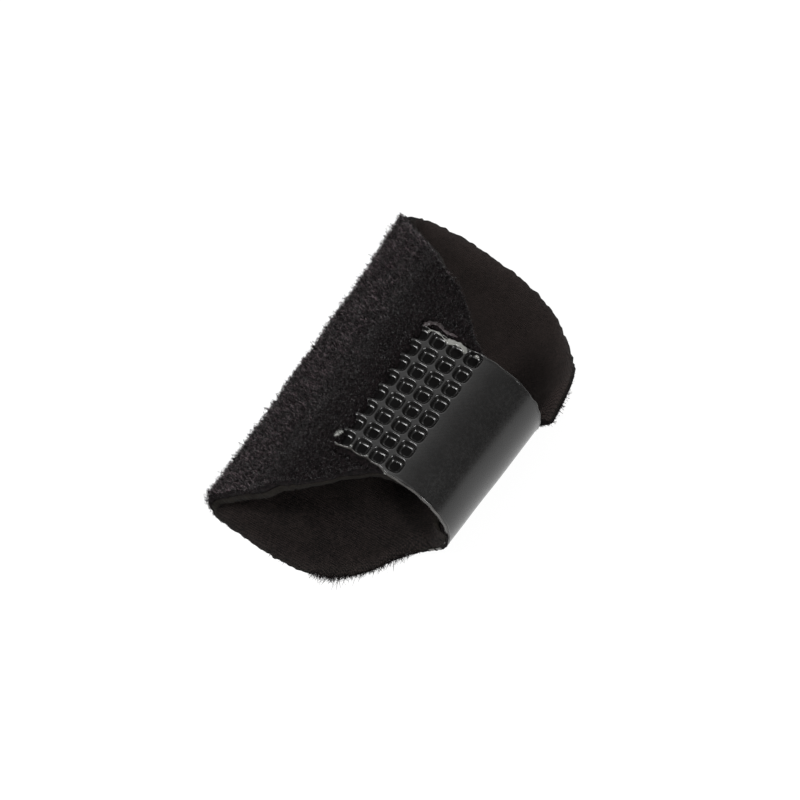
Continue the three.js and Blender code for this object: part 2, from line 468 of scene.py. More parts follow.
# A fine warp knit: wales run along the finger, each loop a small V, and fuzz over it all
WALE_PITCH = 0.33
COURSE_PITCH = 0.27
LOOP_SLANT = 1.1
LOOP_HEIGHT = 0.4
FUZZ_HEIGHT = 2.4
KNIT_FUZZ = (3200, 3, 0.65)
KNIT_BLOTCH = (260, 4, 0.6)
KNIT_CONTRAST = 0.65
KNIT_OFFSET = -0.8
BLOTCH_CONTRAST = 0.8
KNIT_TONES = ((0.2, (0.0009, 0.0006, 0.0006)), (0.95, (0.025, 0.0185, 0.0168)))
KNIT_BUMP = (1.0, 0.00013)
# Painted shade: the knit is darker towards the near mouth, between these places along the finger
MOUTH_SHADE_FROM = -13
MOUTH_SHADE_BY = 2
MOUTH_SHADE_TONE = -0.35
MOUTH_LIT_TONE = 0.08


def lining_material():
    material, nodes, links, shader = new_material("lining_knit")
    calc = partial(math_node, nodes, links)
    wales, courses = uv_steps(nodes, links, WALE_PITCH, COURSE_PITCH)
    side = calc("ABSOLUTE", calc("SUBTRACT", calc("FRACT", wales), 0.5))
    slant = calc("ADD", courses, calc("MULTIPLY", side, LOOP_SLANT))
    loop = calc("SINE", calc("MULTIPLY", slant, math.tau))
    groove = calc("SINE", calc("MULTIPLY", side, math.tau))
    place = object_place(nodes)
    fuzz = noise_at(nodes, links, place, *KNIT_FUZZ)
    blotch = noise_at(nodes, links, place, *KNIT_BLOTCH)
    height = calc("ADD", calc("MULTIPLY", loop, LOOP_HEIGHT), groove)
    height = calc("ADD", height, calc("MULTIPLY", fuzz, FUZZ_HEIGHT))
    tone = calc("MULTIPLY_ADD", height, KNIT_CONTRAST, KNIT_OFFSET)
    tone = calc("ADD", tone, calc("MULTIPLY", blotch, BLOTCH_CONTRAST))
    # Painted shade: the knit's tone falls towards the near mouth
    mouth_shade = nodes.new("ShaderNodeMapRange")
    mouth_shade.inputs["From Min"].default_value = MOUTH_SHADE_FROM / COURSE_PITCH
    mouth_shade.inputs["From Max"].default_value = MOUTH_SHADE_BY / COURSE_PITCH
    mouth_shade.inputs["To Min"].default_value = MOUTH_SHADE_TONE
    mouth_shade.inputs["To Max"].default_value = MOUTH_LIT_TONE
    links.new(courses, mouth_shade.inputs["Value"])
    tone = calc("ADD", tone, mouth_shade.outputs["Result"])
    ramp(nodes, links, tone, KNIT_TONES, shader.inputs["Base Color"])
    bump(nodes, links, shader, height, *KNIT_BUMP)
    set_gloss(shader, roughness=0.85, specular=0.12)
    return material


# Cut foam: open cells, a little browner than the knit
FOAM_CELLS = 5200
FOAM_BLOTCH = (900, 3, 0.6)
FOAM_TONES = ((0.05, (0.003, 0.0025, 0.002)), (0.5, (0.011, 0.0092, 0.0074)))
FOAM_BUMP = (0.8, 0.0001)


def foam_material():
    material, nodes, links, shader = new_material("foam_cut")
    place = object_place(nodes)
    cells = nodes.new("ShaderNodeTexVoronoi")
    cells.inputs["Scale"].default_value = FOAM_CELLS
    links.new(place, cells.inputs["Vector"])
    blotch = noise_at(nodes, links, place, *FOAM_BLOTCH)
    tone = math_node(nodes, links, "MULTIPLY", cells.outputs["Distance"], blotch)
    ramp(nodes, links, tone, FOAM_TONES, shader.inputs["Base Color"])
    bump(nodes, links, shader, cells.outputs["Distance"], *FOAM_BUMP)
    set_gloss(shader, roughness=0.9, specular=0.1)
    return material


# Moulded hook tape seen from its smooth back. The hooks' roots show as faint dimples,
# stronger in some places than in others, and fine grain makes scuffs of uneven gloss.
DIMPLE_PITCHES = (0.62, 0.55)
TAPE_WOBBLE = (420, 2, 0.5)
TAPE_GRAIN = (2600, 3, 0.6)
GRAIN_HEIGHT = 0.5
TAPE_BUMP = (0.5, 0.000004)
TONE_STOPS = (0.3, 0.75)
SCUFF_STOPS = ((0.35, 0.85), (0.7, 1.2))


def strap_material(name, dark, light, roughness, specular):
    material, nodes, links, shader = new_material(name)
    calc = partial(math_node, nodes, links)
    steps = uv_steps(nodes, links, *DIMPLE_PITCHES)
    waved = [calc("SINE", calc("MULTIPLY", step, math.tau)) for step in steps]
    place = object_place(nodes)
    wobble = noise_at(nodes, links, place, *TAPE_WOBBLE)
    grain = noise_at(nodes, links, place, *TAPE_GRAIN)
    dimples = calc("MULTIPLY", calc("MULTIPLY", *waved), wobble)
    bump(nodes, links, shader, calc("MULTIPLY_ADD", grain, GRAIN_HEIGHT, dimples), *TAPE_BUMP)
    ramp(nodes, links, wobble, tuple(zip(TONE_STOPS, (dark, light))), shader.inputs["Base Color"])
    scuffs = tuple((stop, (roughness * share,) * 3) for stop, share in SCUFF_STOPS)
    ramp(nodes, links, grain, scuffs, shader.inputs["Roughness"])
    shader.inputs["Specular IOR Level"].default_value = specular
    return material


# Cloth: the pile cover and the foam-backed lining share their grid. The cut edges are a
# little ragged, and the pile is rounded off towards them.
CLOTH_ROWS = 220
CLOTH_COLUMNS = 130
EDGE_RAG = 0.1
NEAR_RAG_WAVE = (1.3, 21)
FAR_RAG_WAVE = (1.1, 22)
EDGE_ROUND = 0.7
EDGE_LOSS = 0.6
# The near side of the grid becomes the far side between these shares of its width
SIDES_MEET = (0.4, 0.6)


def cloth_grid():
    around = np.linspace(-FLAP_REACH, BACK_REACH, CLOTH_ROWS)[:, None]
    near, far = cloth_edges(around)
    near = near + EDGE_RAG * waves(around, 0, *NEAR_RAG_WAVE)
    far = far + EDGE_RAG * waves(around, 0, *FAR_RAG_WAVE)
    across = np.linspace(0, 1, CLOTH_COLUMNS)[None, :]
    y = near + across * (far - near)
    around = around + 0 * y
    to_side = np.maximum(np.minimum(y - near, far - y), 0)
    to_end = np.minimum(around + FLAP_REACH, BACK_REACH - around)
    on_far_side = smooth(across + 0 * around, *SIDES_MEET)
    return around, y, np.minimum(to_side, to_end), to_side, on_far_side


# A quarter round: 1 at the edge, 0 from reach on
def rounding(to_edge, reach):
    share = np.clip(1 - to_edge / reach, 0, 1)
    return 1 - np.sqrt(1 - share ** 2)


# The back's cut edges are pinched thin and roll outward, so the knit reaches the very edge.
# How much, by place round the wrap, on the far and near side, and the four depths reached.
PINCH_PLACES = (-6, 0, 5)
PINCH_FAR = (0.15, 0.6, 1.0)
PINCH_NEAR = (0.02, 0.35, 0.9)
PINCH_COVER = (0.2, 0.36)
PINCH_LINING = (0.42, 0.7)
# How wide the roll is. The free lip rolls more gently.
PINCH_ROUND = 1.9
PINCH_WIDER = 2.6
WIDER_PLACES = (25, 33)
# Beside the strap's near edge the lip stands out over the tape's edge
PINCH_PAST_TAPE = 0.3
PAST_TAPE_PLACES = (22, 32)


def pinched(depth, around, to_side, on_far_side, target):
    near = np.interp(around, PINCH_PLACES, PINCH_NEAR)
    far = np.interp(around, PINCH_PLACES, PINCH_FAR)
    reach = PINCH_ROUND + PINCH_WIDER * smooth(around, *WIDER_PLACES) * on_far_side
    share = (near + on_far_side * (far - near)) * rounding(to_side, reach)
    past_tape = smooth(around, *PAST_TAPE_PLACES) * (1 - on_far_side)
    target = target - PINCH_PAST_TAPE * past_tape
    return depth + share * (target - depth)


# The pile's unevenness. The fold is fullest at its two ends.
FINE_LUMPS = 0.06
FINE_LUMP_WAVE = (1.1, 3)
BROAD_LUMPS = 0.08
BROAD_LUMP_WAVE = (5, 4)
FOLD_LOSS = 0.24
FOLD_FAR_FULLNESS = 0.62
FOLD_NEAR_FULLNESS = 0.36
FULL_PLACE = -8
FULL_WITHIN = 8
FULL_FADED_BY = 12


def pile_lumps(around, y):
    lumps = FINE_LUMPS * waves(around, y, *FINE_LUMP_WAVE)
    lumps = lumps + BROAD_LUMPS * waves(around, y, *BROAD_LUMP_WAVE)
    fullness = np.where(y > 0, FOLD_FAR_FULLNESS, FOLD_NEAR_FULLNESS)
    fold_ends = FOLD_LOSS - fullness * np.abs(y / FOLD_FAR_END) ** 3
    lumps = lumps + fold_ends * smooth(-np.abs(around - FULL_PLACE), -FULL_FADED_BY, -FULL_WITHIN)
    return lumps * (1 - under_strap(around, y))


def pile_cover(material):
    around, y, to_edge, to_side, on_far_side = cloth_grid()
    top = cover_pressed(around, y) + EDGE_LOSS * rounding(to_edge, EDGE_ROUND) + pile_lumps(around, y)
    bottom = pressed(around, y) + PILE_THICKNESS
    top = pinched(top, around, to_side, on_far_side, PINCH_COVER[0])
    bottom = pinched(bottom, around, to_side, on_far_side, PINCH_COVER[1])
    return add_slab("pile_face", around, y, top, bottom, material, free_lip=True)


LINING_LUMPS = 0.07
LINING_WAVE = (7, 8)


def foam_lining(material, foam):
    around, y, to_edge, to_side, on_far_side = cloth_grid()
    top = pressed(around, y) + PILE_THICKNESS + BOND_GAP
    lumps = LINING_LUMPS * waves(around, y, *LINING_WAVE) * np.clip(to_edge, 0, 1)
    bottom = top + LINING_THICKNESS + lumps
    top = pinched(top, around, to_side, on_far_side, PINCH_LINING[0])
    bottom = pinched(bottom, around, to_side, on_far_side, PINCH_LINING[1])
    lining = add_slab("knit_lining", around, y, top, bottom, material, free_lip=True)
    # The slab's sides are cut foam
    lining.data.materials.append(foam)
    side_faces = 2 * (CLOTH_ROWS + CLOTH_COLUMNS - 2)
    slots = np.zeros(len(lining.data.polygons), dtype=np.int32)
    slots[-side_faces:] = 1
    lining.data.polygons.foreach_set("material_index", slots)
    return lining


# Strap. Its grid is fine in the weld and coarse along the bare tape.
STRAP_COLUMNS = 200
WELD_CELL = 0.075
BARE_CELL = 0.5
STRAP_RAG = 0.05
STRAP_NEAR_WAVE = (2.5, 31)
STRAP_FAR_WAVE = (2.2, 32)
# The weld draws the tape in by these at its near and far edge, and each row swells it
DRAWN_PLACES = (50.3, 53.5)
DRAWN_NEAR = 0.6
DRAWN_FAR = 0.25
DRAWN_FAR_BARE = 0.4
SWELL = 0.1
# Between the rows of pockets the tape ends in points that run into the pile. The end
# reaches further towards the near edge, and furthest at the near corner.
TIP_START = 57.4
TIP_BASE = 58.35
TIP_REACH = 0.75
TIP_POWER = 0.7
TIP_SINK = 0.3
TIP_SINK_PLACES = (58.2, 59.2)
NEAR_END_REACH = 0.25
NEAR_END_PLACES = (4, 13)
CORNER_REACH = 0.7
CORNER_PLACES = (12.4, 13.4)

FIRST_COLUMN = STRAP_WELD - POCKET_SET_IN
POCKETS_MIDDLE = STRAP_CENTRE + POCKET_SHIFT


def strap_grid():
    weld_length = POCKET_COLUMNS * POCKET_PITCH
    bare = np.arange(STRAP_TAIL, STRAP_WELD - weld_length, BARE_CELL)
    weld = np.arange(STRAP_WELD - weld_length, STRAP_WELD + WELD_CELL / 2, WELD_CELL)
    places = np.concatenate([bare, weld])[:, None]
    in_corner = np.clip(TAIL_CORNER - (places - STRAP_TAIL), 0, TAIL_CORNER)
    corner = TAIL_CORNER - np.sqrt(TAIL_CORNER ** 2 - in_corner ** 2)
    welded = smooth(places, *DRAWN_PLACES)
    swell = SWELL * (np.cos((places - FIRST_COLUMN) * math.tau / POCKET_PITCH) * welded)
    near = STRAP_NEAR + corner + DRAWN_NEAR * welded - swell
    near = near + STRAP_RAG * waves(places, 0, *STRAP_NEAR_WAVE)
    far = STRAP_FAR - corner - DRAWN_FAR * (DRAWN_FAR_BARE + (1 - DRAWN_FAR_BARE) * welded) + swell
    far = far + STRAP_RAG * waves(places, 0, *STRAP_FAR_WAVE)
    across = np.linspace(0, 1, STRAP_COLUMNS)[None, :]
    y = near + across * (far - near)
    around = places + 0 * y
    ridge = np.abs(np.sin((y - STRAP_CENTRE - POCKET_SHIFT) * math.pi / POCKET_PITCH))
    end = TIP_BASE + TIP_REACH * (1 - ridge) ** TIP_POWER
    end = end + NEAR_END_REACH * smooth(-y, *NEAR_END_PLACES) + CORNER_REACH * smooth(-y, *CORNER_PLACES)
    share = np.clip((around - TIP_START) / (STRAP_WELD - TIP_START), 0, 1)
    around = np.where(around > TIP_START, TIP_START + share * (end - TIP_START), around)
    return around, y, np.maximum(np.minimum(y - near, far - y), 0)


# Pockets: a rounded square wall from rim to floor, whose foot curves into the floor
POCKET_RIM = 1.13
POCKET_FLOOR = 0.82
POCKET_FOOT = 0.5
WALL_OVERLAP = 0.04
FOOT_OVERLAP = 0.12
FOOT_SHARE = 0.24
POCKET_DEPTH = 0.74
POCKET_BELOW = 0.4
SINK_BELOW = 0.8
POCKET_SQUARENESS = 3.4
# The tape's cut edge: bevelled, with a burr along it, and a pale band painted along it as a highlight
EDGE_BEVEL = 0.15
EDGE_HIGHLIGHT_WIDTH = 0.12
BURR_HEIGHT = 0.05
BURR_PLACE = 0.15
BURR_SPREAD = 0.1
BURR_WAVE = (1.7, 33)
SAG = 0.03
SAG_WAVE = (9, 34)
BACK_SLOT, FLOOR_SLOT, EDGE_HIGHLIGHT_SLOT = range(3)


# How far a place is from the middle of its pocket, measured so that squares come out
def pocket_reach(around, y):
    column = np.clip(np.round((FIRST_COLUMN - around) / POCKET_PITCH), 0, POCKET_COLUMNS - 1)
    half_rows = (POCKET_ROWS - 1) / 2
    row = np.clip(np.round((y - POCKETS_MIDDLE) / POCKET_PITCH + half_rows), 0, POCKET_ROWS - 1)
    along = np.abs(around - (FIRST_COLUMN - column * POCKET_PITCH))
    across = np.abs(y - POCKETS_MIDDLE - (row - half_rows) * POCKET_PITCH)
    return (along ** POCKET_SQUARENESS + across ** POCKET_SQUARENESS) ** (1 / POCKET_SQUARENESS)


def hook_strap(material, floor_material, edge_highlight_material):
    around, y, to_edge = strap_grid()
    reach = pocket_reach(around, y)
    wall = 1 - smooth(reach, POCKET_FLOOR - WALL_OVERLAP, POCKET_RIM)
    foot = 1 - smooth(reach, POCKET_FOOT, POCKET_FLOOR + FOOT_OVERLAP)
    pocket = wall + FOOT_SHARE * (foot - wall)
    bevel = EDGE_BEVEL * rounding(to_edge, EDGE_BEVEL)
    burr = BURR_HEIGHT * np.exp(-((to_edge - BURR_PLACE) / BURR_SPREAD) ** 2)
    burr = burr * (1 + waves(around, y, *BURR_WAVE))
    sink = TIP_SINK * smooth(around, *TIP_SINK_PLACES)
    sag = SAG * waves(around, y, *SAG_WAVE)
    top = POCKET_DEPTH * pocket + bevel - burr + sink + sag
    bottom = TAPE_THICKNESS + POCKET_BELOW * pocket + sink * SINK_BELOW
    strap = add_slab("strap_tape", around, y, top, bottom, material)
    strap.data.materials.append(floor_material)
    strap.data.materials.append(edge_highlight_material)
    in_floor = (reach[:-1, :-1] + reach[1:, 1:]) / 2 < POCKET_FOOT + FOOT_OVERLAP
    # Painted highlight: faces near the cut edge get the pale edge material
    at_edge = (to_edge[:-1, :-1] + to_edge[1:, 1:]) / 2 < EDGE_HIGHLIGHT_WIDTH
    faces_a_side = in_floor.size
    slots = np.full(len(strap.data.polygons), EDGE_HIGHLIGHT_SLOT, dtype=np.int32)
    outside = np.where(at_edge, EDGE_HIGHLIGHT_SLOT, np.where(in_floor, FLOOR_SLOT, BACK_SLOT))
    slots[:faces_a_side] = outside.ravel()
    slots[faces_a_side:2 * faces_a_side] = BACK_SLOT
    strap.data.polygons.foreach_set("material_index", slots)
    return strap


# Plastic squeezed out of the weld, stretched pale and painted paler still as a highlight, along the far
# edge
FLASH_PATH = np.array([
    # around, along, radius, height
    (57.7, 4.1, 0.12, 0.05),
    (57.55, 4.45, 0.15, 0.1),
    (57.1, 4.6, 0.08, 0.1),
    (56.6, 4.65, 0.13, 0.1),
    (56.1, 4.55, 0.12, 0.08),
    (55.7, 4.4, 0.05, 0.05),
    (55.3, 4.25, 0.12, 0.05),
    (54.95, 4.25, 0.4, 0.05),
    (54.5, 4.35, 0.42, 0.05),
    (54.05, 4.5, 0.34, 0.05),
    (53.5, 4.55, 0.26, 0.05),
    (53.0, 4.5, 0.26, 0.03),
    (52.6, 4.35, 0.36, 0.0),
    (52.35, 4.0, 0.3, -0.05),
    (52.3, 3.7, 0.06, -0.15),
])
# The same at the weld's near corner
CORNER_PATH = np.array([
    # around, along, radius, height
    (59.7, -13.9, 0.05, -0.1),
    (59.6, -13.6, 0.22, 0.05),
    (59.45, -13.3, 0.36, 0.08),
    (59.3, -13.0, 0.36, 0.08),
    (59.15, -12.75, 0.2, 0.0),
    (59.1, -12.6, 0.05, -0.1),
])
# Pile melted into a dull ridge beyond the flash
RIDGE_PATH = np.array([
    # around, along, radius, height
    (58.65, 4.6, 0.1, -0.1),
    (58.5, 4.95, 0.3, -0.05),
    (58.05, 5.4, 0.32, 0.0),
    (57.5, 5.65, 0.26, 0.0),
    (57.0, 5.7, 0.3, 0.0),
    (56.6, 5.55, 0.24, 0.0),
    (56.25, 5.35, 0.16, -0.05),
    (55.5, 5.25, 0.26, 0.0),
    (54.9, 5.35, 0.2, 0.0),
    (54.3, 5.4, 0.08, -0.1),
])
BEADS = (
    # around, along, radius, depth
    (50.75, 4.15, 0.27, -0.14),
    (57.1, -13.9, 0.17, 0.05),
    (54.65, -14.1, 0.19, 0.05),
    (51.4, -15.0, 0.13, 0.03),
)
FLASH_SEED = 41
CORNER_SEED = 42
RIDGE_SEED = 43
ROPE_RINGS = 80
ROPE_TURNS = 12
ROPE_FLATNESS = 0.5
ROPE_UNEVENNESS = 0.25
ROPE_WAVE_RUN = 10
ROPE_WAVE = 0.9
BEAD_RINGS = 8
BEAD_TURNS = 12
BEAD_POLE = 0.05
BEAD_STRETCH = (1.25, 0.85)


# Quads between rings of points that each close on themselves
def ring_faces(rings, turns):
    index = np.arange(rings * turns).reshape(rings, turns)
    after = np.roll(index, -1, axis=1)
    return np.stack([index[:-1], after[:-1], after[1:], index[1:]], axis=-1).reshape(-1, 4)


# A flat uneven rope of melt along a path on the wrap
def squeezed(table, seed):
    along = np.linspace(0, 1, len(table))
    fine = np.linspace(0, 1, ROPE_RINGS)
    around, y, radius, height = (np.interp(fine, along, table[:, column]) for column in range(4))
    radius = radius * (1 + ROPE_UNEVENNESS * waves(fine * ROPE_WAVE_RUN, 0, ROPE_WAVE, seed))
    centre = wrap_points(around, y, -height)
    forward = np.gradient(centre, axis=0)
    forward /= np.linalg.norm(forward, axis=1, keepdims=True)
    out = outward(around)[:, None]
    side = np.cross(forward, out[:, 0])[:, None]
    angle = np.linspace(0, math.tau, ROPE_TURNS, endpoint=False)[None, :, None]
    ring = np.cos(angle) * side + ROPE_FLATNESS * np.sin(angle) * out
    points = (centre[:, None] + ring * radius[:, None, None]).reshape(-1, 3)
    return points, ring_faces(ROPE_RINGS, ROPE_TURNS)


def bead(centre, radius):
    polar = np.linspace(BEAD_POLE, math.pi - BEAD_POLE, BEAD_RINGS)[:, None]
    angle = np.linspace(0, math.tau, BEAD_TURNS, endpoint=False)[None, :]
    shape = np.stack([
        np.sin(polar) * np.cos(angle) * BEAD_STRETCH[0],
        np.sin(polar) * np.sin(angle) * BEAD_STRETCH[1],
        np.cos(polar) + 0 * angle,
    ], axis=-1)
    points = (centre + radius * shape).reshape(-1, 3)
    return points, ring_faces(BEAD_RINGS, BEAD_TURNS)[:, ::-1]


def melted_ridge(material):
    points, faces = squeezed(RIDGE_PATH, RIDGE_SEED)
    return add_object("melted_ridge", points, faces, material)


def weld_flash(material):
    parts = [squeezed(FLASH_PATH, FLASH_SEED), squeezed(CORNER_PATH, CORNER_SEED)]
    parts += [bead(wrap_points(around, y, depth), radius) for around, y, radius, depth in BEADS]
    starts = np.cumsum([0] + [len(points) for points, _ in parts])
    points = np.concatenate([points for points, _ in parts])
    faces = np.concatenate([faces + start for (_, faces), start in zip(parts, starts)])
    return add_object("weld_flash", points, faces, material)


# Fibres of the pile: short curled ribbons, each from the surface and back towards it
FIBRE_POINTS = 5
FIBRE_WIDTH = 0.06
FIBRE_WIDTHS = (0.7, 1.25)
FIBRE_TAPER = np.array([1, 1, 0.95, 0.8, 0.35])
CURL = 0.7
TURN_SPREAD = 1.2
TINY = 1e-9


def ribbons(name, spine, source, shade, material):
    count, steps = spine.shape[:2]
    forward = spine[:, 1] - spine[:, 0]
    flat = np.cross(forward, source.normal(0, 1, (count, 3)))
    flat /= np.linalg.norm(flat, axis=1, keepdims=True) + TINY
    widths = source.uniform(*FIBRE_WIDTHS, count)[:, None, None]
    width = FIBRE_WIDTH / 2 * FIBRE_TAPER[None, :, None] * widths
    points = np.stack([spine - flat[:, None] * width, spine + flat[:, None] * width], axis=2).reshape(-1, 3)
    start = (np.arange(count)[:, None] * steps * 2 + np.arange(steps - 1)[None, :] * 2).ravel()
    faces = np.stack([start, start + 1, start + 3, start + 2], axis=1)
    thing = add_object(name, points, faces, material)
    layer = thing.data.attributes.new(SHADE_NAME, "FLOAT", "POINT")
    layer.data.foreach_set("value", np.repeat(shade, steps * 2).astype(np.float32))
    return thing


# A curled path from each root, leaving along lean and rising to its height
def curls(root, out, lean, lean_end, length, height, droop):
    spine = []
    for share in np.linspace(0, 1, FIBRE_POINTS):
        rise = math.sin(share * math.pi * (0.5 + 0.5 * droop))
        turned = share * lean + share ** 2 * CURL * (lean_end - lean)
        spine.append(root + length * turned + out * height * rise)
    return np.stack(spine, axis=1)


# A direction in the surface for each fibre, and the one that it turns to
def random_lean(out, source):
    along = np.array([0.0, 1.0, 0.0]) + 0 * out
    side = np.cross(out, along)
    angle = source.uniform(0, math.tau, len(out))[:, None]
    turn = angle + source.normal(0, TURN_SPREAD, len(out))[:, None]
    return np.cos(angle) * along + np.sin(angle) * side, np.cos(turn) * along + np.sin(turn) * side


# Fibres stand in clumps, leave the strap and the back's cut edges bare, and are longer on the fold,
# where more of them are also made bright as a painted rim light
CANDIDATES = 4
CLUMP_WAVES = ((0.9, 51, 9), (0.45, 52, 9))
CLUMP_SCATTER = 0.8
BARE_BELOW = -0.5
STRAP_BARE = 0.3
BACK_FROM = 2
BACK_EDGE_BARE = 0.9
FIBRE_ROOT = 0.1
FIBRE_LENGTHS = (0.2, 0.5)
FIBRE_DROOP = 0.55
FIBRE_HEIGHTS = (6, 0.045)
CLUMP_HEIGHT = 0.2
FOLD_HEIGHT = 0.35
SHAG_PLACE = -6
SHAG_WITHIN = 5
SHAG_FADED_BY = 9
SHADE_MIDDLE = 0.35
SHADE_CLUMP = 0.12
SHADE_SPREAD = 0.2
SHADE_POWER = 1.5
SHADE_TOP = 0.9
BRIGHT_SHARE = 0.06
RIM_LIGHT_ON_FOLD = 0.1
# Painted shade: fibres are made darker towards the strap, between these places up the flap
PILE_SHADE_PLACES = (12, 24)
PILE_SHADE_LOSS = 0.4


def fibres(name, count, seed, low, high, material):
    source = np.random.default_rng(seed)
    around = source.uniform(low, high, count * CANDIDATES)
    near, far = cloth_edges(around)
    widest = (far - near).max()
    keep = source.uniform(0, 1, len(around)) * widest < far - near
    around, near, far = around[keep], near[keep], far[keep]
    y = near + source.uniform(0, 1, len(around)) * (far - near)
    clump = sum(waves(around, y, *wave) for wave in CLUMP_WAVES)
    keep = under_strap(around, y) < STRAP_BARE
    keep &= clump + source.normal(0, CLUMP_SCATTER, len(y)) > BARE_BELOW
    keep &= (around < BACK_FROM) | (np.minimum(y - near, far - y) > BACK_EDGE_BARE)
    around, y, clump = around[keep][:count], y[keep][:count], clump[keep][:count]
    depth = cover_pressed(around, y) + pile_lumps(around, y) + FIBRE_ROOT
    root = wrap_points(around, y, depth, free_lip=True)
    out = outward(around)
    lean, lean_end = random_lean(out, source)
    length = source.uniform(*FIBRE_LENGTHS, len(y))[:, None]
    on_fold = smooth(-np.abs(around - SHAG_PLACE), -SHAG_FADED_BY, -SHAG_WITHIN)
    height = source.gamma(*FIBRE_HEIGHTS, len(y)) * (1 + CLUMP_HEIGHT * clump.clip(-1, 2))
    height = (height * (1 + FOLD_HEIGHT * on_fold))[:, None]
    shade = SHADE_MIDDLE + SHADE_CLUMP * clump + source.normal(0, SHADE_SPREAD, len(y))
    shade = np.clip(shade, 0, 1) ** SHADE_POWER * SHADE_TOP
    # Some fibres are pale at random; the extra bright ones on the fold are a painted rim light
    bright = source.uniform(0, 1, len(y)) < BRIGHT_SHARE + RIM_LIGHT_ON_FOLD * on_fold
    # Painted shade: every fibre is darkened towards the strap
    shade = np.where(bright, 1.0, shade) * (1 - PILE_SHADE_LOSS * smooth(-around, *PILE_SHADE_PLACES))
    spine = curls(root, out, lean, lean_end, length, height, FIBRE_DROOP)
    return ribbons(name, spine, source, shade, material)


# Cut loops along the cloth's edges. The near edge of the back is the most frayed, in one
# place shaggy, and the flap's far edge is painted pale, a painted highlight where its cut edge catches
# light.
FRAYED_SHARE = 0.45
FRAYED_PLACES = (17, 28)
SHAGGY_PLACES = (16, 19)
SHAGGY_ENDS = (26, 28)
SHAGGY_LENGTH = 0.1
UNDER_STRAP = 0.5
BACK_FAR_THINNED = 0.6
FRINGE_DEPTHS = (0.2, 0.7)
FRINGE_SET_IN = 0.15
FRINGE_LEAN = 0.5
FRINGE_LIFT = 0.4
FRINGE_END = 0.6
FRINGE_SHAPE = 3
FRINGE_FAR = 0.035
FRINGE_NEAR = 0.045
FRINGE_HEIGHTS = (0.05, 0.1)
FRINGE_DROOP = 0.3
FRINGE_SHADES = (0.35, 0.2)
FRINGE_BRIGHTEST = 0.8
FLAP_FROM = -3
FLAP_EDGE_HIGHLIGHT = 0.4


def fringe(name, count, seed, material):
    source = np.random.default_rng(seed)
    around = source.uniform(-FLAP_REACH, BACK_REACH, count)
    far_side = source.uniform(0, 1, count) < 0.5
    frayed = source.uniform(0, 1, count) < FRAYED_SHARE
    around = np.where(frayed, source.uniform(*FRAYED_PLACES, count), around)
    far_side = far_side & ~frayed
    near, far = cloth_edges(around)
    y = np.where(far_side, far, near)
    on_back = around > BACK_FROM
    thinned = far_side & on_back & (source.uniform(0, 1, count) < BACK_FAR_THINNED)
    keep = (under_strap(around, y) < UNDER_STRAP) & ~thinned
    around, y, far_side, on_back = around[keep], y[keep], far_side[keep], on_back[keep]
    depth = source.uniform(*FRINGE_DEPTHS, len(y)) + np.where(on_back, 0, pressed(around, y))
    root = wrap_points(around, y - np.where(far_side, FRINGE_SET_IN, -FRINGE_SET_IN), depth, free_lip=True)
    out = outward(around)
    away = np.where(far_side, 1.0, -1.0)[:, None] * np.array([0.0, 1.0, 0.0])
    lean, lean_end = random_lean(out, source)
    lean = lean * FRINGE_LEAN + away + out * source.normal(0, FRINGE_LIFT, len(y))[:, None]
    shaggy = smooth(around, *SHAGGY_PLACES) * (1 - smooth(around, *SHAGGY_ENDS))
    scale = np.where(far_side, FRINGE_FAR, FRINGE_NEAR) + SHAGGY_LENGTH * np.where(far_side, 0, shaggy)
    length = source.gamma(FRINGE_SHAPE, scale, len(y))[:, None]
    height = source.normal(*FRINGE_HEIGHTS, len(y))[:, None]
    shade = np.clip(source.normal(*FRINGE_SHADES, len(y)), 0, FRINGE_BRIGHTEST)
    # Painted highlight: fibres along the flap's far edge are made paler
    shade = np.where(far_side & (around < FLAP_FROM), shade + FLAP_EDGE_HIGHLIGHT, shade)
    spine = curls(root, out, lean, lean_end + FRINGE_END * away, length, height, FRINGE_DROOP)
    return ribbons(name, spine, source, shade, material)


# The camera stands where the photo's stood, and sees the part as large
CAMERA_AZIMUTH = math.radians(31.09)
CAMERA_ELEVATION = math.radians(62)
CAMERA_DISTANCE = 450.0
CAMERA_LENS = 160.55
CAMERA_PIVOT = (14.0, 0.0, 6.0)
CAMERA_OFFSET = (0.156, -0.431)


# The camera's own right, up and back
def camera_axes():
    back = Vector((
        math.sin(CAMERA_AZIMUTH) * math.cos(CAMERA_ELEVATION),
        -math.cos(CAMERA_AZIMUTH) * math.cos(CAMERA_ELEVATION),
        math.sin(CAMERA_ELEVATION),
    ))
    right = Vector((math.cos(CAMERA_AZIMUTH), math.sin(CAMERA_AZIMUTH), 0))
    return right, back.cross(right), back


def place_camera():
    data = bpy.data.cameras.new("photo_camera")
    data.lens = CAMERA_LENS
    data.sensor_width = 36
    data.clip_start = 0.01
    data.clip_end = 10
    camera = bpy.data.objects.new("photo_camera", data)
    bpy.context.scene.collection.objects.link(camera)
    right, up, back = camera_axes()
    pivot = Vector(CAMERA_PIVOT) + Vector((SHIFT_X, SHIFT_Y, 0))
    target = pivot + right * CAMERA_OFFSET[0] + up * CAMERA_OFFSET[1]
    camera.rotation_mode = "QUATERNION"
    camera.rotation_quaternion = back.to_track_quat("Z", "Y")
    camera.location = (target + back * CAMERA_DISTANCE) * MM
    bpy.context.scene.camera = camera


# Soft studio light: two discs that aim at the part's middle
LIGHT_DISTANCE = 400.0
LIGHT_AIM = Vector((0, 0, 8))
LIGHTS = (
    # name, right, up and back in the camera's own directions, diameter, watts
    ("left_light", (-0.58, 0.2, 0.79), 150, 1.7),
    ("right_light", (0.5, -0.32, 0.81), 110, 1.3),
)


